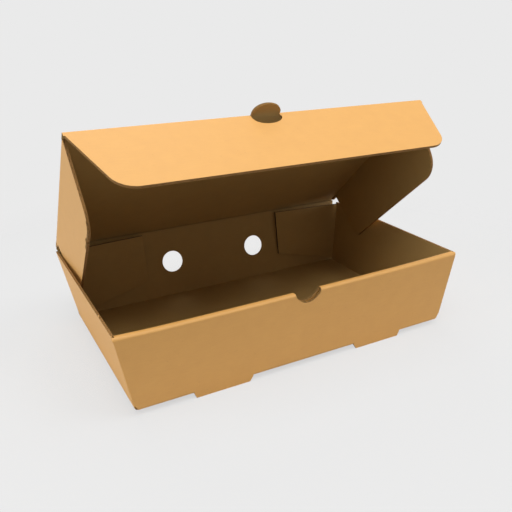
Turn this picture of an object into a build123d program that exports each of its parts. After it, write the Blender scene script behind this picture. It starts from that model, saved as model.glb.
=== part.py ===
from build123d import *
from math import atan2, cos, degrees, radians, sin, tan
import os

# Board: fine-flute kraft board, and how it folds
board = 1.6
fold_radius = 0.5
upright_radius = 1.2
ply_slack = 0.2
hinge_room = 0.8
overrun = 40.0

# Tray: base, walls that lean out, rolled front rim
base_width = 244.0
base_depth = 152.0
wall_height = 56.0
side_flare = 8.0
front_flare = 4.0
back_flare = 11.0
rim_rise = 0.5

# Front lock: feet cut from the base slots, lock tabs of the inner ply, thumb notch
foot_inner = 41.3
foot_width = 42.4
foot_inner_slant = 2.5
foot_outer_slant = 1.5
lock_margin = 4.0
notch_radius = 9.8
notch_lip = 0.6
corner_cut_width = 2.0
corner_cut_height = 6.0

# Corner tabs of the side walls
front_tab_length = 58.0
front_tab_margin = 3.5
back_tab_length = 68.0
back_tab_start = 2.8
back_tab_fold_height = 55.4
back_tab_end_height = 57.0
back_tab_end_rise = 17.8
back_tab_end_slant = 6.0
back_fold_inset = 1.9
back_fold_flare = 5.9
back_tab_turn = 1.4

# Vents in the back wall
vent_diameter = 18.0
vent_offset = 38.5
vent_height = 29.4

# Lid, shown held open
lid_gap = 0.4
lid_side_gap = 0.2
lid_front_gap = 9.4
lid_open = 41.7

# Tuck flap at the lid's front crease, shown half folded
flap_depth = 53.4
flap_taper = 17.0
flap_corner = 15.0
flap_folded = 66.4
flap_room = 0.95

# Half-heart pull: point, top, lobe and notch, measured from the middle of the crease; a thumb has bent it up
heart_point = 12.0
heart_top = 1.5
heart_height = 9.6
heart_lobe = 8.3
heart_lobe_height = 3.8
heart_notch = 7.8
heart_room = 0.4
pull_lift = 15.0

# Ears at the lid's side creases, leaning in
ear_back = 8.6
ear_front_gap = 6.8
ear_front_depth = 52.5
ear_apex = 22.5
ear_apex_depth = 49.3
ear_corner = 12.0
ear_apex_corner = 4.0
ear_lean = 3.6

# Angles and positions worked out from the sizes
side_angle = degrees(atan2(side_flare, wall_height))
front_angle = degrees(atan2(front_flare, wall_height))
back_angle = degrees(atan2(back_flare, wall_height))
outer_radius = fold_radius + board
tab_room = board + 2 * ply_slack
rim_width = tab_room + 2 * board
rim_height = wall_height + rim_rise
slot_depth = tab_room + board + ply_slack
hinge_z = rim_height + lid_gap + board / 2
reach = base_width + overrun
beyond = reach + overrun
flat_side = base_width / 2 - 2 * outer_radius
flat_front = 2 * outer_radius - base_depth / 2
flat_back = base_depth / 2 - 2 * outer_radius


def front_face(z, depth):
    """Y of a plane that lies a depth inside the front wall's outer face, at a height."""
    tilt = radians(front_angle)
    return depth / cos(tilt) - base_depth / 2 - z * tan(tilt)


def back_face(z, depth):
    """Y of a plane that lies a depth inside the back wall's outer face, at a height."""
    tilt = radians(back_angle)
    return base_depth / 2 + z * tan(tilt) - depth / cos(tilt)


def side_face(z, depth):
    """X of a plane that lies a depth inside the right wall's outer face, at a height."""
    tilt = radians(side_angle)
    return base_width / 2 + z * tan(tilt) - depth / cos(tilt)


hinge_y = back_face(hinge_z, board / 2)
lid_length = hinge_y - front_face(hinge_z, rim_width) - lid_front_gap
lid_width = 2 * (side_face(wall_height, board) - lid_side_gap)
ear_axis_x = lid_width / 2 - board / 2
ear_front = lid_length - ear_front_gap


def across(section):
    """A section seen from the right, run from side to side."""
    return extrude(Plane.YZ * section, amount=reach, both=True)


def lengthwise(section):
    """A section seen from the front, run from front to back."""
    return extrude(Plane.XZ * section, amount=reach, both=True)


def bent_board(inside, outside, radii):
    """Section of a folded strip of board, from the corners of its inner and outer faces."""
    inner = FilletPolyline(*inside, radius=radii)
    outer = FilletPolyline(*outside, radius=[radius + board for radius in radii])
    ends = [Line(inner @ 0, outer @ 0), Line(inner @ 1, outer @ 1)]
    return make_face([inner, outer, *ends])


def fold_frame():
    """Right wall's back fold: its foot, its direction up and the way its tab runs."""
    low = Vector(side_face(0, 0), base_depth / 2 - back_fold_inset, 0)
    high = Vector(side_face(wall_height, 0), low.Y + back_fold_flare, wall_height)
    along_tab = Vector(-1, 0, 0).rotate(Axis.Z, -back_tab_turn)
    return low, high - low, along_tab


def back_tab():
    """Tab of the right wall that stands loose inside the back wall."""
    low, rise, along_tab = fold_frame()
    up = rise.normalized()
    corners = [
        low + up * back_tab_start,
        low + up * back_tab_fold_height,
        low + up * back_tab_end_height + along_tab * back_tab_length,
        low + up * back_tab_end_rise + along_tab * (back_tab_length - back_tab_end_slant),
    ]
    return extrude(make_face(Polyline(*corners, close=True)), amount=board, dir=up.cross(along_tab))


def behind_fold():
    """Room behind the right wall's back fold."""
    low, rise, along_tab = fold_frame()
    face = Plane(origin=low, x_dir=along_tab, z_dir=along_tab.cross(rise.normalized()))
    return extrude(face * Rectangle(base_width, reach), amount=overrun)


def front_tab():
    """Tab of the right wall that is caught between the plies of the front wall."""
    top = wall_height - front_tab_margin
    tab = Polygon(
        (side_face(front_tab_margin, 0), front_tab_margin),
        (side_face(top, 0), top),
        (side_face(top, 0) - front_tab_length, top - front_tab_margin),
        (side_face(front_tab_margin, 0) - front_tab_length, 2 * front_tab_margin),
        align=None,
    )
    return extrude(front_plane(board + ply_slack) * tab, amount=-board)


def floor_and_sides():
    """Base with both side walls as one folded strip, with the tabs at the ends of the walls."""
    inside = [
        (-side_face(wall_height, board), wall_height),
        (-side_face(board, board), board),
        (side_face(board, board), board),
        (side_face(wall_height, board), wall_height),
    ]
    outside = [
        (-side_face(wall_height, 0), wall_height),
        (-side_face(0, 0), 0),
        (side_face(0, 0), 0),
        (side_face(wall_height, 0), wall_height),
    ]
    strip = lengthwise(bent_board(inside, outside, [fold_radius, fold_radius]))
    top = rim_height + overrun
    front = board + ply_slack
    between = Polygon(
        (flat_front, -overrun),
        (flat_back, -overrun),
        (flat_back, outer_radius),
        (back_face(outer_radius, board), outer_radius),
        (back_face(top, board), top),
        (front_face(top, front), top),
        (front_face(outer_radius, front), outer_radius),
        (flat_front, outer_radius),
        align=None,
    )
    middle = extrude(Rectangle(2 * flat_side, reach), amount=overrun, both=True)
    strip = (strip & across(between)) - middle - behind_fold() - mirror(behind_fold(), about=Plane.YZ)
    strip += [back_tab(), front_tab(), mirror(back_tab(), about=Plane.YZ), mirror(front_tab(), about=Plane.YZ)]
    low, rise, along_tab = fold_frame()
    front_low = Vector(side_face(0, 0), front_face(0, front), 0)
    front_rise = Vector(side_flare, -front_flare, wall_height)
    back_round = fold_round(low, rise, Vector(0, -1, 0), along_tab)
    front_round = fold_round(front_low, front_rise, Vector(0, 1, 0), Vector(-1, 0, 0))
    rounds = [back_round, front_round]
    for piece in rounds:
        strip -= piece
        strip -= mirror(piece, about=Plane.YZ)
    return strip


def fold_round(low, rise, along_wall, along_tab):
    """What is cut from a sharp upright fold so that the board turns the corner with a radius."""
    up = rise.normalized()
    wall = (along_wall - up * along_wall.dot(up)).normalized()
    tab = (along_tab - up * along_tab.dot(up)).normalized()
    half_turn = radians(wall.get_angle(tab) / 2)
    start = low + up * outer_radius
    centre = start + (wall + tab).normalized() * (upright_radius / sin(half_turn))
    on_wall = start + wall * (upright_radius / tan(half_turn))
    on_tab = start + tab * (upright_radius / tan(half_turn))
    corner = Polyline(centre, on_wall * 2 - centre, start * 2 - centre, on_tab * 2 - centre, close=True)
    length = rise.length + overrun
    rod = Plane(origin=centre, z_dir=up) * Circle(upright_radius)
    return extrude(make_face(corner), amount=length, dir=up) - extrude(rod, amount=length, dir=up)


def front_and_back():
    """Base with the back wall and the rolled double front wall as one folded strip."""
    roll_radius = tab_room / 2 - ply_slack / 4
    roll_top = rim_height - board
    inner_end = board + ply_slack
    inside = [
        (back_face(hinge_z, board), hinge_z),
        (back_face(board, board), board),
        (front_face(board, board), board),
        (front_face(roll_top, board), roll_top),
        (front_face(roll_top, board + tab_room), roll_top),
        (front_face(inner_end, board + tab_room), inner_end),
    ]
    outside = [
        (back_face(hinge_z, 0), hinge_z),
        (back_face(0, 0), 0),
        (front_face(0, 0), 0),
        (front_face(rim_height, 0), rim_height),
        (front_face(rim_height, rim_width), rim_height),
        (front_face(inner_end, rim_width), inner_end),
    ]
    section = bent_board(inside, outside, [fold_radius, fold_radius, roll_radius, roll_radius])
    half = extrude(Plane.YZ * section, amount=reach)
    for end in (beside_tray(), front_corner(), floor_end(), rim_end(), back_wall_end()):
        half -= end
    return half + mirror(half, about=Plane.YZ)


def beside_tray():
    """Room outside the right wall, with the rounded fold of the base."""
    top = rim_height + overrun
    radius = outer_radius + ply_slack
    centre_x = side_face(radius, radius)
    fold = CenterArc((centre_x, radius), radius, -90, 90 - side_angle)
    around = Polyline(
        fold @ 0,
        (centre_x, -overrun),
        (beyond, -overrun),
        (beyond, top),
        (side_face(top, 0), top),
        fold @ 1,
    )
    return lengthwise(make_face([fold, around]))


def front_corner():
    """What is cut off the right lower corner of the outer front ply."""
    side = Polygon(
        (side_face(0, corner_cut_width), 0),
        (side_face(0, corner_cut_width), -overrun),
        (beyond, -overrun),
        (beyond, corner_cut_height),
        (side_face(corner_cut_height, 0), corner_cut_height),
        align=None,
    )
    depth = board + ply_slack / 2
    ply = Polygon(
        (-reach, -overrun),
        (front_face(-overrun, depth), -overrun),
        (front_face(rim_height, depth), rim_height),
        (-reach, rim_height),
        align=None,
    )
    return lengthwise(side) & across(ply)


def floor_end():
    """The right end of the flat floor, which belongs to the strip with the side walls."""
    end = Pos(flat_side, flat_front) * Rectangle(beyond, flat_back - flat_front, align=Align.MIN)
    return extrude(end, amount=board + ply_slack / 2) + extrude(end, amount=-overrun)


def rim_end():
    """The rim and the inner ply stop short of the side walls; this is what is cut from the right end."""
    low = board + fold_radius
    top = rim_height + overrun
    inset = board + ply_slack
    side = Polygon(
        (side_face(low, inset), low),
        (beyond, low),
        (beyond, top),
        (side_face(top, inset), top),
        align=None,
    )
    behind = Polygon(
        (front_face(low, board), low),
        (0, low),
        (0, top),
        (front_face(top, board), top),
        align=None,
    )
    return lengthwise(side) & across(behind)


def back_wall_end():
    """The back wall narrows to the width of the lid; this is what is cut from its right end."""
    side = Polygon(
        (side_face(0, 0), 0),
        (beyond, 0),
        (beyond, hinge_z + overrun),
        (lid_width / 2, hinge_z + overrun),
        (lid_width / 2, hinge_z),
        align=None,
    )
    behind = Polygon(
        (back_face(0, board), 0),
        (beyond, 0),
        (beyond, hinge_z + overrun),
        (back_face(hinge_z + overrun, board), hinge_z + overrun),
        align=None,
    )
    return lengthwise(side) & across(behind)


def front_plane(depth):
    """Plane that lies a depth inside the front wall's outer face, X to the right and Y up the wall."""
    tilt = radians(front_angle)
    origin = (0, front_face(0, depth), 0)
    return Plane(origin=origin, x_dir=(1, 0, 0), z_dir=(0, -cos(tilt), -sin(tilt)))


def feet_and_locks(tray):
    """Cuts the base slots, carries the outer ply down as feet and puts the lock tabs into the slots."""
    foot_outer = foot_inner + foot_width
    low = board + fold_radius
    slot = Polygon(
        (front_face(0, -overrun), -overrun),
        (front_face(0, board + slot_depth), -overrun),
        (front_face(0, board + slot_depth), low),
        (front_face(0, -overrun), low),
        align=None,
    )
    slot = extrude(Plane.YZ.offset(foot_inner) * slot, amount=foot_width)
    foot = Polygon(
        (foot_inner, low + board),
        (foot_inner, 0),
        (foot_inner + foot_inner_slant, -slot_depth),
        (foot_outer - foot_outer_slant, -slot_depth),
        (foot_outer, 0),
        (foot_outer, low + board),
        align=None,
    )
    foot = extrude(front_plane(0) * foot, amount=-board)
    lock = Polygon(
        (foot_inner + lock_margin, low + board),
        (foot_inner + lock_margin, ply_slack),
        (foot_outer - lock_margin, ply_slack),
        (foot_outer - lock_margin, low + board),
        align=None,
    )
    lock = extrude(front_plane(board + tab_room) * lock, amount=-board)
    tray -= slot + mirror(slot, about=Plane.YZ)
    return tray + [foot, mirror(foot, about=Plane.YZ), lock, mirror(lock, about=Plane.YZ)]


def thumb_notch():
    """Half-round notch with softened lips, through the whole front rim."""
    lip_x = notch_radius + notch_lip
    lip_z = rim_height - notch_lip
    shape = Pos(0, lip_z) * Circle(notch_radius)
    shape += Pos(0, lip_z) * Rectangle(2 * lip_x, notch_lip + overrun, align=(Align.CENTER, Align.MIN))
    shape -= [Pos(x, lip_z) * Circle(notch_lip) for x in (-lip_x, lip_x)]
    return extrude(Plane.XZ * shape, amount=reach)


def vents():
    """Two round steam vents, square to the back wall."""
    tilt = radians(back_angle)
    up = (0, sin(tilt), cos(tilt))
    wall = Plane(origin=(0, back_face(0, 0), 0), x_dir=(1, 0, 0), z_dir=(0, -up[2], up[1]))
    holes = Sketch() + [Pos(x, vent_height) * Circle(vent_diameter / 2) for x in (-vent_offset, vent_offset)]
    return extrude(wall * holes, amount=overrun / 2, both=True)


def build_tray():
    """The tray: base, walls, rolled front, feet, tabs, vents and notch, all of one sheet."""
    tray = floor_and_sides() + front_and_back()
    tray = feet_and_locks(tray)
    bead = Cylinder(board / 2 + hinge_room, reach, rotation=(0, 90, 0))
    return tray - thumb_notch() - vents() - Pos(0, hinge_y, hinge_z) * bead


def flat_board(outline):
    """Board cut to an outline, its middle plane on the sketch."""
    return extrude(outline, amount=board / 2, both=True)


def crease_rod(start, end, radius):
    """Round rod along a crease, for the bead of one panel or the hollow of the other."""
    path = Line(start, end)
    return sweep(Plane(origin=start, z_dir=path % 0) * Circle(radius), path=path)


def half_heart(grow):
    """Half of a heart that lies on its side on the crease, from point to notch."""
    edge = Spline(
        (-heart_point - grow, 0),
        (-heart_top, -heart_height - grow),
        (heart_lobe + grow, -heart_lobe_height),
        (heart_notch + grow, 0),
    )
    return make_face([edge, Line(edge @ 1, edge @ 0)])


def flat_lid():
    """Lid as cut, flat: hinge crease on the X axis, front to -Y, with the pull at its front crease."""
    front_end = lid_length - ear_front - hinge_room
    back_end = ear_back - hinge_room
    outline = Rectangle(2 * ear_axis_x, lid_length, align=(Align.CENTER, Align.MAX))
    outline += Rectangle(lid_width, back_end, align=(Align.CENTER, Align.MAX))
    outline += Pos(0, -lid_length) * Rectangle(lid_width, front_end, align=(Align.CENTER, Align.MIN))
    pull = Pos(0, -lid_length) * Rot(-pull_lift, 0, 0) * flat_board(half_heart(0))
    half = lid_width / 2
    beads = [crease_rod((-half, -y, 0), (half, -y, 0), board / 2) for y in (0, lid_length)]
    beads += [
        crease_rod((x, -ear_back, 0), (x, -ear_front, 0), board / 2)
        for x in (-ear_axis_x, ear_axis_x)
    ]
    return flat_board(outline) + pull + beads


def flat_flap():
    """Tuck flap as cut, flat: crease on the X axis, free edge to -Y, with the heart cut out."""
    end_half = lid_width / 2 - flap_depth * tan(radians(flap_taper))
    outline = Polygon(
        (-lid_width / 2, 0),
        (-end_half, -flap_depth),
        (end_half, -flap_depth),
        (lid_width / 2, 0),
        align=None,
    )
    outline = fillet(outline.vertices().group_by(Axis.Y)[0], radius=flap_corner)
    outline -= half_heart(heart_room)
    half = lid_width / 2 + hinge_room
    return flat_board(outline) - crease_rod((-half, 0, 0), (half, 0, 0), board / 2 + flap_room)


def flat_ear():
    """Right ear as cut, flat: crease on the Y axis, free edge to +X."""
    outline = Polygon(
        (0, -ear_back),
        (ear_apex_depth, -ear_apex),
        (ear_front_depth, -ear_front),
        (0, -ear_front),
        align=None,
    )
    apex = outline.vertices().sort_by_distance((ear_apex_depth, -ear_apex))[0]
    outline = fillet(apex, radius=ear_apex_corner)
    corner = outline.vertices().sort_by_distance((ear_front_depth, -ear_front))[0]
    outline = fillet(corner, radius=ear_corner)
    start = (0, hinge_room - ear_back, 0)
    end = (0, -hinge_room - ear_front, 0)
    return flat_board(outline) - crease_rod(start, end, board / 2 + hinge_room)


tray = build_tray()

# Folding: each panel is turned on its crease to where it stands in the opened box
lid_place = Pos(0, hinge_y, hinge_z) * Rot(-lid_open, 0, 0)
flap_place = lid_place * Pos(0, -lid_length, 0) * Rot(flap_folded, 0, 0)
ear_place = lid_place * Pos(ear_axis_x, 0, 0) * Rot(0, 90 + ear_lean, 0)
lid = lid_place * flat_lid()
tuck_flap = flap_place * flat_flap()
right_ear = ear_place * flat_ear()
left_ear = mirror(right_ear, about=Plane.YZ)

os.makedirs("parts", exist_ok=True)
export_step(tray, "parts/tray.step")
export_step(lid, "parts/lid.step")
export_step(tuck_flap, "parts/tuck_flap.step")
export_step(right_ear, "parts/right_ear.step")
export_step(left_ear, "parts/left_ear.step")
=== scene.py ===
from math import atan2, cos, pi, radians, sin, tan

import bmesh
import bpy
from mathutils import Matrix, Vector, noise
from mathutils.bvhtree import BVHTree


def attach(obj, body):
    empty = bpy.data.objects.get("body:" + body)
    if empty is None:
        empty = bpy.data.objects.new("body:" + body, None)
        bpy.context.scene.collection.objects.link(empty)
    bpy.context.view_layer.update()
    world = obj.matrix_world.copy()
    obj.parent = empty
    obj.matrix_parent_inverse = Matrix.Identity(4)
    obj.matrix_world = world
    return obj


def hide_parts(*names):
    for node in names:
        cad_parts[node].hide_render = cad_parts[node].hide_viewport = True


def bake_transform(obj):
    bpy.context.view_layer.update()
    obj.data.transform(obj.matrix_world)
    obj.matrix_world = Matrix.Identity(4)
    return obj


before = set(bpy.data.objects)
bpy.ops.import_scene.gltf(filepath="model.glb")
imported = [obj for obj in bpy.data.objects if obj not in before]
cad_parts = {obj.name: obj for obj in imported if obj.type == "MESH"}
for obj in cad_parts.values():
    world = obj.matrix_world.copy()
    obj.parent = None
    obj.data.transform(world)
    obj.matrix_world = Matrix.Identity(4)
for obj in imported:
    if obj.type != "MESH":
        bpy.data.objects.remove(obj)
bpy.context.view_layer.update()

# Tray: the base and four walls of one die-cut sheet of fine-flute kraft board.
# The side walls' tabs lie between the plies of the rolled front wall and inside the back wall,
# and the front wall is locked by two tabs in slots of the base.
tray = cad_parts["tray"]
MM = 0.001
BOARD = 1.6 * MM


def linear(colour):
    """An sRGB hex colour as a linear one with alpha."""
    parts = [int(colour[i:i + 2], 16) / 255 for i in (1, 3, 5)]
    return tuple(c / 12.92 if c <= 0.04045 else ((c + 0.055) / 1.055) ** 2.4 for c in parts) + (1.0,)


def node(tree, kind, inputs, **settings):
    """Adds a node with its settings; an input is a value or the socket that feeds it."""
    made = tree.nodes.new(kind)
    for name, value in settings.items():
        setattr(made, name, value)
    for socket, value in inputs.items():
        if isinstance(value, bpy.types.NodeSocket):
            tree.links.new(value, made.inputs[socket])
        else:
            made.inputs[socket].default_value = value
    return made


def linerboard(name, pale, deep, fleck, roughness):
    """Unbleached kraft linerboard: cloudy fibre formation, fibres along the sheet and a few dark shives."""
    made = bpy.data.materials.new(name)
    made.use_nodes = True
    tree = made.node_tree
    shader = tree.nodes["Principled BSDF"]
    place = node(tree, "ShaderNodeTexCoord", {}).outputs["Object"]
    # Fibres are 0.03 by 3 mm; they are drawn 0.5 by 7 mm, so that they show.
    along = node(tree, "ShaderNodeMapping", {"Vector": place, "Scale": (1 / 7, 1 / 0.5, 1 / 0.5)})
    fibre = node(tree, "ShaderNodeTexNoise", {"Vector": along.outputs[0], "Scale": 1 / MM, "Detail": 3.0})
    # Formation, the cloudiness of the pulp, has flocs of about 9 mm.
    floc = node(tree, "ShaderNodeTexNoise", {"Vector": place, "Scale": 1 / (9 * MM), "Detail": 4.0})
    both = node(tree, "ShaderNodeMix", {"Factor": 0.55, "A": floc.outputs[0], "B": fibre.outputs[0]})
    tone = node(tree, "ShaderNodeMapRange", {"Value": both.outputs[0], "From Min": 0.3, "From Max": 0.7})
    paper = node(
        tree,
        "ShaderNodeMix",
        {"Factor": tone.outputs[0], "A": linear(deep), "B": linear(pale)},
        data_type="RGBA",
    )
    # Shives, bits of bark 1.5 mm long, are rare.
    spread = node(tree, "ShaderNodeMapping", {"Vector": place, "Scale": (1 / 1.5, 1 / 0.6, 1 / 0.6)})
    speck = node(tree, "ShaderNodeTexNoise", {"Vector": spread.outputs[0], "Scale": 1 / MM, "Detail": 1.0})
    shive = node(
        tree,
        "ShaderNodeMapRange",
        {"Value": speck.outputs[0], "From Min": 0.74, "From Max": 0.8, "To Max": 0.35},
    )
    colour = node(
        tree,
        "ShaderNodeMix",
        {"Factor": shive.outputs[0], "A": paper.outputs["Result"], "B": linear(fleck)},
        data_type="RGBA",
    )
    gloss = node(
        tree,
        "ShaderNodeMapRange",
        {"Value": fibre.outputs[0], "To Min": roughness - 0.06, "To Max": roughness + 0.06},
    )
    relief = node(tree, "ShaderNodeBump", {"Height": both.outputs[0], "Strength": 0.25, "Distance": 0.06 * MM})
    tree.links.new(colour.outputs["Result"], shader.inputs["Base Color"])
    tree.links.new(gloss.outputs[0], shader.inputs["Roughness"])
    tree.links.new(relief.outputs[0], shader.inputs["Normal"])
    shader.inputs["IOR"].default_value = 1.5
    return made


def cut_edge(name, liner, hollow_shade):
    """Die-cut edge of corrugated board: torn fibre of the liners with the flute mouths between them, their shade
    painted in as a darker colour.
    """
    made = bpy.data.materials.new(name)
    made.use_nodes = True
    tree = made.node_tree
    shader = tree.nodes["Principled BSDF"]
    place = node(tree, "ShaderNodeTexCoord", {}).outputs["Object"]
    # Half a wave of the fluting, 1.7 mm, is the width of a mouth.
    torn = node(tree, "ShaderNodeTexNoise", {"Vector": place, "Scale": 1 / (1.7 * MM), "Detail": 3.0})
    mouth = node(tree, "ShaderNodeMapRange", {"Value": torn.outputs[0], "From Min": 0.38, "From Max": 0.62})
    colour = node(
        tree,
        "ShaderNodeMix",
        {"Factor": mouth.outputs[0], "A": linear(hollow_shade), "B": linear(liner)},
        data_type="RGBA",
    )
    relief = node(tree, "ShaderNodeBump", {"Height": torn.outputs[0], "Strength": 0.6, "Distance": 0.2 * MM})
    tree.links.new(colour.outputs["Result"], shader.inputs["Base Color"])
    tree.links.new(relief.outputs[0], shader.inputs["Normal"])
    shader.inputs["Roughness"].default_value = 0.9
    shader.inputs["Specular IOR Level"].default_value = 0.15
    return made


# Machine-finished kraft, outside: even and warm, with a slight gloss at a flat angle.
kraft_outside = linerboard("kraft_liner_machine_finished", "#d29d54", "#cc9750", "#8a5f32", 0.56)
# Kraft, inside: duller, and darker and browner than the outside liner as painted shade of the closed-in interior.
kraft_inside_painted_shade = linerboard("kraft_liner_inside_painted_shade", "#ad8b50", "#a5844b", "#5c4622", 0.8)
# Raw corrugated edge: brown and broken, darker than either liner as painted shade, deepest in the flute hollows.
raw_edge_painted_shade = cut_edge("corrugated_raw_edge", "#8d6a3c", "#6e522e")
# Back tabs' cut edges: nearly black, as painted shade of the deep gap between the tabs and the lid.
tab_edges_painted_shade = cut_edge("corrugated_tab_edges_painted_shade", "#2c2013", "#120c06")
board_surfaces = (kraft_outside, kraft_inside_painted_shade, raw_edge_painted_shade, tab_edges_painted_shade)
OUTSIDE, INSIDE, RAW, TAB_EDGE_SHADE = range(4)


def dress(thing, is_outside):
    """Gives each face of a board its liner, or the raw edge where no face lies a board's thickness behind."""
    mesh = thing.data
    mesh.materials.clear()
    for material in board_surfaces:
        mesh.materials.append(material)
    corners = [vertex.co for vertex in mesh.vertices]
    tree = BVHTree.FromPolygons(corners, [polygon.vertices for polygon in mesh.polygons])
    under_face, board_through = 0.02 * MM, 1.25 * BOARD
    for polygon in mesh.polygons:
        start = polygon.center - polygon.normal * under_face
        depth = tree.ray_cast(start, -polygon.normal)[3]
        if depth is None or depth > board_through:
            polygon.material_index = RAW
        else:
            polygon.material_index = OUTSIDE if is_outside(polygon.center, polygon.normal) else INSIDE


front_wall_y, front_wall_foot = -66 * MM, 4 * MM
outer_ply_y, inner_ply_y = -74.2 * MM, -74.5 * MM


def tray_outside(centre, normal):
    """The sheet's outside: away from the food, and on the rolled front wall also towards it."""
    strongest = max(range(3), key=lambda axis: abs(normal[axis]))
    if centre.y < front_wall_y and strongest != 0 and centre.z > front_wall_foot:
        on_outer_ply = normal.y < -0.5 and centre.y < outer_ply_y
        on_inner_ply = normal.y > 0.5 and centre.y > inner_ply_y
        return on_outer_ply or normal.z > 0.5 or on_inner_ply
    if strongest == 0:
        return normal.x * centre.x > 0
    if strongest == 1:
        return normal.y * centre.y > 0
    return normal.z < 0


dress(tray, tray_outside)
# The folds at the front corners carry the outer liner, and the back tabs' cut edges get the nearly black painted
# shade of the gap under the lid.
corner_x, corner_y = 110 * MM, -74.5 * MM
tab_x, tab_y, tab_top = 50 * MM, 74.5 * MM, 56.8 * MM
for polygon in tray.data.polygons:
    centre, normal = polygon.center, polygon.normal
    if polygon.material_index != RAW:
        continue
    if centre.y < corner_y and abs(centre.x) > corner_x and abs(normal.x) > 0.8:
        polygon.material_index = OUTSIDE
    elif centre.y > tab_y and abs(centre.x) > tab_x and centre.z < tab_top and normal.z > -0.5:
        polygon.material_index = TAB_EDGE_SHADE

# The rolled rim has settled, most between its middle and the left corner, so the tray that shows is the same board
# with the top 7 mm of its front wall pressed down in a flat bow.
bow, bow_foot, bow_top, bow_half = 2.3 * MM, 49.6 * MM, 56.5 * MM, 130 * MM
cut_y, same_point = -60 * MM, 0.001 * MM
side_wall_x, side_wall_front = 128.3 * MM, -78.22 * MM
board = bmesh.new()
board.from_mesh(tray.data)
bmesh.ops.remove_doubles(board, verts=board.verts, dist=same_point)
cuts = [((x * MM, 0, 0), (1, 0, 0)) for x in range(-124, 125, 4)]
cuts += [((0, 0, z * MM), (0, 0, 1)) for z in (49.6, 51, 52.4, 53.8, 55.2)]
for place, way in cuts:
    centres = [(face, face.calc_center_median()) for face in board.faces]
    front = [face for face, centre in centres if centre.y < cut_y and centre.z > front_wall_foot]
    parts = dict.fromkeys(part for face in front for part in (*face.verts, *face.edges))
    bmesh.ops.bisect_plane(board, geom=[*parts, *front], dist=same_point, plane_co=place, plane_no=way)
for vertex in board.verts:
    x, y, z = vertex.co
    on_side_wall = abs(x) > side_wall_x and y > side_wall_front
    if y < front_wall_y and z > bow_foot and not on_side_wall:
        share = min((z - bow_foot) / (bow_top - bow_foot), 1)
        to_right = max(1 - ((x + bow_half) / (2 * bow_half)) ** 4, 0)
        to_left = 1 - 0.5 * min(max(-x / bow_half, 0), 1) ** 6
        vertex.co.z -= bow * share * to_right * to_left
mesh = bpy.data.meshes.new("tray_board")
board.to_mesh(mesh)
board.free()
for material in board_surfaces:
    mesh.materials.append(material)
if "custom_normal" in mesh.attributes:
    mesh.attributes.remove(mesh.attributes["custom_normal"])
mesh.shade_smooth()
mesh.set_sharp_from_angle(angle=radians(30))
tray_board = bpy.data.objects.new("tray_board", mesh)
bpy.context.scene.collection.objects.link(tray_board)
flat_faces = tray_board.modifiers.new("flat_faces", "WEIGHTED_NORMAL")
flat_faces.keep_sharp = True
flat_faces.weight = 100
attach(tray_board, "tray")
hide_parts("tray")

# Lid: the back wall's panel folded over at a crease, with half of a heart cut free at its front fold
# as the pull. It is the same board, with the finished liner outside.
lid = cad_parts["lid"]
lid_tilt = radians(41.7)
lid_up = Vector((0, sin(lid_tilt), cos(lid_tilt)))
lid_along = Vector((0, -cos(lid_tilt), sin(lid_tilt)))
dress(lid, lambda centre, normal: normal.dot(lid_up) > 0)

# Tuck flap: the lid's front panel with bevelled ends and round corners, which goes in behind the front wall.
# It is the same board, and hangs from a crease of its own.
tuck_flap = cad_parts["tuck_flap"]
flap_tilt = radians(24.7)
flap_up = Vector((0, -sin(flap_tilt), cos(flap_tilt)))
flap_along = Vector((0, -cos(flap_tilt), -sin(flap_tilt)))
dress(tuck_flap, lambda centre, normal: normal.dot(flap_up) > 0)

# Ears: the lid's side panels, of the same board, which slide down inside the side walls. The walls press their
# back ends in, and their front ends spring out again, so each is a twisted sheet in place of the flat solid.
hinge = Vector((0, 86.51864, 57.7)) * MM
sideways = Vector((1, 0, 0))
ear_lean, ear_front_lean = radians(3.6), radians(1.0)
twist_start, twist_length = 40 * MM, 106 * MM
ear_crease_x = 127.38376 * MM
edge_step = 0.8 * MM


def rounded(corners, radii, step):
    """Points at even steps along an open outline, its inner corners rounded."""
    path = [Vector(corners[0])]
    for before, corner, after, radius in zip(corners, corners[1:], corners[2:], radii):
        corner = Vector(corner)
        back = (Vector(before) - corner).normalized()
        on = (Vector(after) - corner).normalized()
        half = back.angle(on) / 2
        centre = corner + (back + on).normalized() * radius / sin(half)
        first = corner + back * radius / tan(half) - centre
        last = corner + on * radius / tan(half) - centre
        path += [centre + first.normalized().slerp(last.normalized(), k / 16) * radius for k in range(17)]
    path.append(Vector(corners[-1]))
    even = [path[0]]
    for point in path[1:]:
        while (point - even[-1]).length > step:
            even.append(even[-1] + (point - even[-1]).normalized() * step)
    return even + [path[-1]]


def solid_of_rings(name, rings, surfaces):
    """A closed mesh through rings of points; a surface's number goes with each side of a ring."""
    shape = bmesh.new()
    rows = [[shape.verts.new(point) for point in ring] for ring in rings]
    for row, after in zip(rows, rows[1:]):
        for i, number in enumerate(surfaces):
            j = (i + 1) % len(row)
            shape.faces.new((row[i], row[j], after[j], after[i])).material_index = number
    shape.faces.new(rows[0][::-1])
    shape.faces.new(rows[-1])
    bmesh.ops.recalc_face_normals(shape, faces=shape.faces)
    mesh = bpy.data.meshes.new(name)
    shape.to_mesh(mesh)
    shape.free()
    for material in (kraft_outside, kraft_inside_painted_shade, raw_edge_painted_shade):
        mesh.materials.append(material)
    mesh.shade_smooth()
    mesh.set_sharp_from_angle(angle=radians(35))
    made = bpy.data.objects.new(name, mesh)
    bpy.context.scene.collection.objects.link(made)
    return made


def ear_point(side, spot, height):
    """A spot of an ear, by its depth from the crease and place along it, at a height over the board's middle."""
    depth, along = spot
    share = min(max((along - twist_start) / twist_length, 0), 1)
    lean = ear_lean + (ear_front_lean - ear_lean) * share
    out = sideways * side
    down = -lid_up * cos(lean) - out * sin(lean)
    face = out * cos(lean) - lid_up * sin(lean)
    return hinge + out * ear_crease_x + lid_along * along + down * depth + face * height


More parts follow.
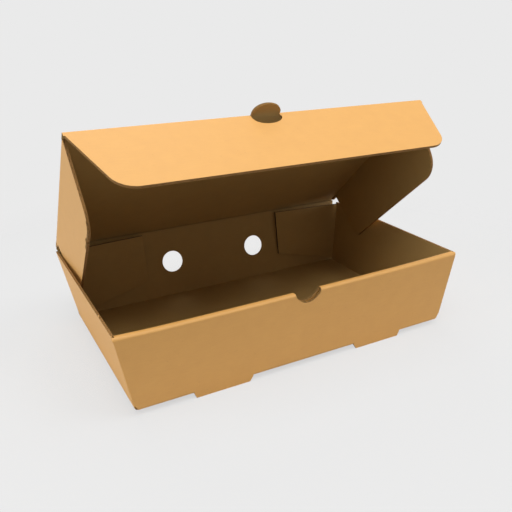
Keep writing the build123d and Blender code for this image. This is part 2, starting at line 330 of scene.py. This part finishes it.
ear_outline = [(0.2, 148.0), (52.2, 140.6), (49.3, 22.5), (2.4, 9.5), (2.4, 2.4), (0.2, 2.4)]
ear_outline = [(depth * MM, along * MM) for depth, along in ear_outline]
ear_radii = (14 * MM, 4 * MM, 0.3 * MM, 0.3 * MM)
# The left ear's lower front corner is frayed: its outer liner is torn back and the core is nicked.
fray_start, fray_end, liner_thick = 108 * MM, 139 * MM, 0.22 * MM
nick_at, nick_half, nick_depth, nick_below = 118.5 * MM, 1.4 * MM, 1.1 * MM, 30 * MM
ear_edges = {}
for name, side in (("left_ear", -1), ("right_ear", 1)):
    edge = rounded(ear_outline, ear_radii, edge_step)
    rings, cut = [], []
    for i, spot in enumerate(edge):
        run = (edge[min(i + 1, len(edge) - 1)] - edge[max(i - 1, 0)]).normalized()
        inward = Vector((run.y, -run.x))
        torn = 0.1 * MM
        if side < 0 and fray_start < spot.y < fray_end:
            ragged = 1.2 * noise.noise((spot.y * 700, 0, 0)) + 0.6 * noise.noise((spot.y * 2500, 7, 0))
            torn += (1.5 + ragged) * MM
        if side < 0 and abs(spot.y - nick_at) < nick_half and spot.x > nick_below:
            spot = spot + inward * nick_depth
        liner = spot + inward * torn
        on_fold = Vector((0, spot.y))
        ring = [ear_point(side, on_fold.lerp(liner, k / 10), BOARD / 2) for k in range(11)]
        ring.append(ear_point(side, liner, BOARD / 2 - liner_thick))
        ring.append(ear_point(side, spot, BOARD / 2 - liner_thick))
        ring.append(ear_point(side, spot, -BOARD / 2))
        ring += [ear_point(side, on_fold.lerp(spot, k / 10), -BOARD / 2) for k in range(9, -1, -1)]
        rings.append(ring)
        cut.append((spot, inward))
    ear = solid_of_rings(name + "_panel", rings, [OUTSIDE] * 10 + [RAW] * 3 + [INSIDE] * 10 + [RAW])
    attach(ear, name)
    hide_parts(name)
    ear_edges[name] = []
    for spot, inward in cut:
        middle = ear_point(side, spot, 0)
        across = ear_point(side, spot, MM) - middle
        out = ear_point(side, spot - inward * MM, 0) - middle
        ear_edges[name].append((middle, across, out))

# Cut edges: where the board is cut across, its two liners and the wave of its fluting show.
# They are drawn as thin strips of paper that stand a little proud of the edge face, whose dark colour is painted
# shade of the hollows.
# Fine fluting has a wave every 3.4 mm.
wave_length, wave_height = 3.4 * MM, 0.42 * MM
flute_half, liner_from, liner_to = 0.13 * MM, 0.57 * MM, 0.79 * MM
strip_foot, strip_top = -0.03 * MM, 0.05 * MM
# Kraft paper cut by the die, seen end on: paler than the painted shade of the hollows beside it.
cut_paper = linerboard("kraft_paper_cut_end", "#a87a42", "#946937", "#5c4422", 0.85)


def fluted_edge(name, body, edge):
    """Liners and fluting along a cut edge, given as points with the ways across the board and out of it."""
    shape = bmesh.new()
    length = 0.0
    rows = []
    for i, (point, across, out) in enumerate(edge):
        across, out = across.normalized(), out.normalized()
        length += (point - edge[i - 1][0]).length if i else 0.0
        wave = wave_height * sin(2 * pi * length / wave_length)
        row = []
        for low, high in ((-liner_to, -liner_from), (wave - flute_half, wave + flute_half), (liner_from, liner_to)):
            corners = ((low, strip_foot), (low, strip_top), (high, strip_top), (high, strip_foot))
            row.append([shape.verts.new(point + across * place + out * lift) for place, lift in corners])
        rows.append(row)
    for row, after in zip(rows, rows[1:]):
        for strip, next_strip in zip(row, after):
            for k in range(4):
                shape.faces.new((strip[k], strip[k - 3], next_strip[k - 3], next_strip[k]))
    for strip in rows[0] + rows[-1]:
        shape.faces.new(strip)
    bmesh.ops.recalc_face_normals(shape, faces=shape.faces)
    mesh = bpy.data.meshes.new(name)
    shape.to_mesh(mesh)
    shape.free()
    mesh.materials.append(cut_paper)
    strips = bpy.data.objects.new(name, mesh)
    bpy.context.scene.collection.objects.link(strips)
    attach(strips, body)


for name, edge in ear_edges.items():
    fluted_edge(name + "_cut_edge", name, edge)
wall_middle, wall_front, wall_top, wall_steps = 129.22 * MM, -77.0 * MM, 56.0 * MM, 194
for name, side in (("left_wall_cut_edge", -1), ("right_wall_cut_edge", 1)):
    line = [Vector((side * wall_middle, wall_front + edge_step * i, wall_top)) for i in range(wall_steps)]
    fluted_edge(name, "tray", [(point, sideways, Vector((0, 0, 1))) for point in line])
lid_half, lid_depth = 128.18 * MM, 152.02682 * MM
front_fold = hinge + lid_along * lid_depth
flap_start, flap_depth, flap_slant, flap_radius = 2.2 * MM, 53.4 * MM, tan(radians(17)), 15 * MM
flap_right = [(lid_half - depth * flap_slant, depth) for depth in (flap_depth, flap_start)]
flap_left = [(-x, depth) for x, depth in flap_right[::-1]]
flap_line = rounded(flap_left + flap_right, (flap_radius, flap_radius), edge_step)
edge = []
for i, spot in enumerate(flap_line):
    run = (flap_line[min(i + 1, len(flap_line) - 1)] - flap_line[max(i - 1, 0)]).normalized()
    point = front_fold + sideways * spot.x + flap_along * spot.y
    edge.append((point, flap_up, sideways * -run.y + flap_along * run.x))
fluted_edge("tuck_flap_cut_edge", "tuck_flap", edge)

# Torn liner: a flake of the outer liner, 3.6 mm long, that the die has lifted on the left wall's top edge.
# It is the same paper, still held at its foot.
flake_start, flake_length, flake_rise = -51.8, 3.6, 1.2
rings = []
for step in range(9):
    y = flake_start + flake_length * step / 8
    rise = 0.05 + flake_rise * sin(pi * step / 8)
    spots = ((-129.9, 55.7), (-129.9 + 0.3 * rise, 56 + rise), (-129.65 + 0.3 * rise, 56 + rise), (-129.6, 55.7))
    rings.append([Vector((x, y, z)) * MM for x, z in spots])
flake = solid_of_rings("left_wall_torn_liner", rings, [OUTSIDE, RAW, INSIDE, RAW])
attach(flake, "tray")

# Creases: where the sheet is scored and folded, the outer liner runs on round the fold: over the lid's three folds
# and its own fold on the back wall.
fold_radius = BOARD / 2
fold_overlap = 3.0 * MM
fold_proud, fold_ends, fold_under = 0.03 * MM, -0.02 * MM, 0.06 * MM


def crease(name, ends, faces, inwards):
    """A skin of liner round a fold, from a little way in on one panel to a little way in on the other."""
    middle = [faces[0].slerp(faces[1], step / 12) for step in range(13)]
    profile = [faces[0] * fold_radius + inwards[0] * fold_overlap]
    profile += [turn * fold_radius for turn in middle]
    profile += [faces[1] * fold_radius + inwards[1] * fold_overlap]
    normals = [faces[0], *middle, faces[1]]
    rises = [fold_ends, *[fold_proud] * len(middle), fold_ends]
    proud = [point + normal * rise for point, normal, rise in zip(profile, normals, rises)]
    sunk = [point - normal * fold_under for point, normal in zip(profile, normals)]
    ring = proud + sunk[::-1]
    shape = bmesh.new()
    rows = [[shape.verts.new(end + point) for point in ring] for end in ends]
    for i in range(len(ring)):
        j = (i + 1) % len(ring)
        face = shape.faces.new((rows[0][i], rows[0][j], rows[1][j], rows[1][i]))
        face.material_index = OUTSIDE if j < len(proud) and j else INSIDE
    for row in rows:
        for i in range(len(proud) - 1):
            shape.faces.new((row[i], row[i + 1], row[-2 - i], row[-1 - i]))
    bmesh.ops.recalc_face_normals(shape, faces=shape.faces)
    mesh = bpy.data.meshes.new(name)
    shape.to_mesh(mesh)
    shape.free()
    mesh.materials.append(kraft_outside)
    mesh.materials.append(kraft_inside_painted_shade)
    mesh.shade_smooth()
    mesh.set_sharp_from_angle(angle=radians(30))
    skin = bpy.data.objects.new(name, mesh)
    bpy.context.scene.collection.objects.link(skin)
    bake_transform(skin)


# The back wall leans out by 11 mm in its height of 56 mm.
back_tilt = atan2(11, 56)
back_out = Vector((0, cos(back_tilt), -sin(back_tilt)))
back_down = Vector((0, -sin(back_tilt), -cos(back_tilt)))
crease(
    "back_crease",
    (hinge - sideways * lid_half, hinge + sideways * lid_half),
    (back_out, lid_up),
    (back_down, lid_along),
)
# The front fold is broken by the pull.
pull_left, pull_right = -12.4 * MM, 8.2 * MM
for name, start, end in (
    ("front_crease_left", -lid_half, pull_left),
    ("front_crease_right", pull_right, lid_half),
):
    crease(
        name,
        (front_fold + sideways * start, front_fold + sideways * end),
        (lid_up, flap_up),
        (-lid_along, flap_along),
    )
ear_fold_back, ear_fold_front = 8.6 * MM, 145.2 * MM
for name, side in (("left_ear", -1), ("right_ear", 1)):
    out = sideways * side
    fold = hinge + out * ear_crease_x
    crease(
        name + "_crease",
        (fold + lid_along * ear_fold_back, fold + lid_along * ear_fold_front),
        (lid_up, out * cos(ear_lean) - lid_up * sin(ear_lean)),
        (-out, -lid_up * cos(ear_lean) - out * sin(ear_lean)),
    )

# Floor: a pale sheet of paper that the box stands on, touched by the feet in front and the base's back edge,
# fading into a plain pale backdrop. The feet reach 3.79 mm below the base, 151 mm in front of that edge.
foot_drop, foot_reach, floor_middle = 3.79 * MM, 151 * MM, -1.9 * MM
floor_mesh = bpy.data.meshes.new("floor")
disc = bmesh.new()
bmesh.ops.create_circle(disc, cap_ends=True, segments=96, radius=2.5)
disc.to_mesh(floor_mesh)
disc.free()
floor = bpy.data.objects.new("floor", floor_mesh)
bpy.context.scene.collection.objects.link(floor)
floor.matrix_world = Matrix.Translation((0, 0, floor_middle)) @ Matrix.Rotation(atan2(foot_drop, foot_reach), 4, "X")

# Matt paper: no gloss, so only the shadow of the box shows on it. The camera sees it thinned out into the backdrop.
paper_sweep = bpy.data.materials.new("matt_paper_sweep")
paper_sweep.use_nodes = True
tree = paper_sweep.node_tree
shader = tree.nodes["Principled BSDF"]
shader.inputs["Base Color"].default_value = linear("#d0d0d0")
shader.inputs["Roughness"].default_value = 0.9
shader.inputs["Specular IOR Level"].default_value = 0.0
place = node(tree, "ShaderNodeTexCoord", {})
reach = node(tree, "ShaderNodeVectorMath", {0: place.outputs["Object"]}, operation="LENGTH")
fade = node(
    tree,
    "ShaderNodeMapRange",
    {"Value": reach.outputs["Value"], "From Min": 0.16, "From Max": 0.42},
    interpolation_type="SMOOTHSTEP",
)
rays = node(tree, "ShaderNodeLightPath", {})
seen_share = node(tree, "ShaderNodeMath", {0: rays.outputs["Is Camera Ray"], 1: 0.75}, operation="MULTIPLY")
gone = node(tree, "ShaderNodeMath", {0: fade.outputs[0], 1: seen_share.outputs[0]}, operation="MAXIMUM")
clear = node(tree, "ShaderNodeBsdfTransparent", {})
seen = node(tree, "ShaderNodeMixShader", {0: gone.outputs[0], 1: shader.outputs[0], 2: clear.outputs[0]})
tree.links.new(seen.outputs[0], tree.nodes["Material Output"].inputs["Surface"])
floor_mesh.materials.append(paper_sweep)

# Backdrop and ambient light: a plain studio wall, pale grey to the camera and in reflections,
# and dimmer as a light on the box.
world = bpy.data.worlds.new("studio")
bpy.context.scene.world = world
world.use_nodes = True
tree = world.node_tree
rays = node(tree, "ShaderNodeLightPath", {}).outputs
mirror_rays = node(
    tree,
    "ShaderNodeMath",
    {0: rays["Is Camera Ray"], 1: rays["Is Glossy Ray"]},
    operation="MAXIMUM",
)
seen_rays = node(
    tree,
    "ShaderNodeMath",
    {0: mirror_rays.outputs[0], 1: rays["Is Transmission Ray"]},
    operation="MAXIMUM",
)
backdrop = node(tree, "ShaderNodeBackground", {"Color": linear("#eaeaea"), "Strength": 1.0})
ambient = tree.nodes["Background"]
ambient.inputs["Color"].default_value = linear("#ffffff")
ambient.inputs["Strength"].default_value = 0.165
mixed = node(tree, "ShaderNodeMixShader", {0: seen_rays.outputs[0], 1: ambient.outputs[0], 2: backdrop.outputs[0]})
tree.links.new(mixed.outputs[0], tree.nodes["World Output"].inputs["Surface"])

# Lamps: soft boxes around the table, aimed at the box. Those above light the lid and the flap, the left one
# lights the left wall and ear, and the low ones lift the front and the right end.
box_middle = Vector((0, 0, 0.06))
for name, place, size, power, colour in (
    ("overhead", (0.0, -0.03, 1.4), 0.9, 8.4, "#ffffff"),
    ("front_high_left", (-0.3, -0.62, 1.2), 0.7, 7.3, "#ffffff"),
    ("front_high_right", (0.55, -0.6, 1.1), 0.6, 5.2, "#ffffff"),
    ("front_low", (0.2, -1.35, 0.35), 0.9, 1.0, "#ffffff"),
    ("left", (-1.35, 0.15, 0.35), 0.9, 11.4, "#f4faff"),
    ("back_high", (0.1, 0.9, 1.0), 0.8, 3.0, "#ffffff"),
    ("right_corner", (1.2, -0.1, 0.12), 0.3, 8.0, "#ffffff"),
):
    data = bpy.data.lights.new(name, "AREA")
    data.shape = "SQUARE"
    data.size = size
    data.energy = power
    data.color = linear(colour)[:3]
    lamp = bpy.data.objects.new(name, data)
    bpy.context.scene.collection.objects.link(lamp)
    aim = box_middle - Vector(place)
    lamp.matrix_world = Matrix.Translation(place) @ aim.to_track_quat("-Z", "Y").to_matrix().to_4x4()

# Camera: where the photo was taken from, with the lens that its perspective gives.
# The frame is shifted, because the middle of the photo is not where the lens points.
eye = bpy.data.cameras.new("camera")
eye.sensor_width = 36
eye.lens = 41.881
eye.shift_x = -0.07287
eye.shift_y = 0.12390
eye.clip_start = 0.01
camera = bpy.data.objects.new("camera", eye)
bpy.context.scene.collection.objects.link(camera)
camera.matrix_world = Matrix((
    (0.86435588, 0.23405718, -0.44509116, -0.18806206),
    (-0.50284517, 0.39176301, -0.77049885, -0.38428817),
    (-0.00597054, 0.88979716, 0.45631719, 0.21702275),
    (0, 0, 0, 1),
))
bpy.context.scene.camera = camera
bpy.context.scene.view_settings.view_transform = "Standard"
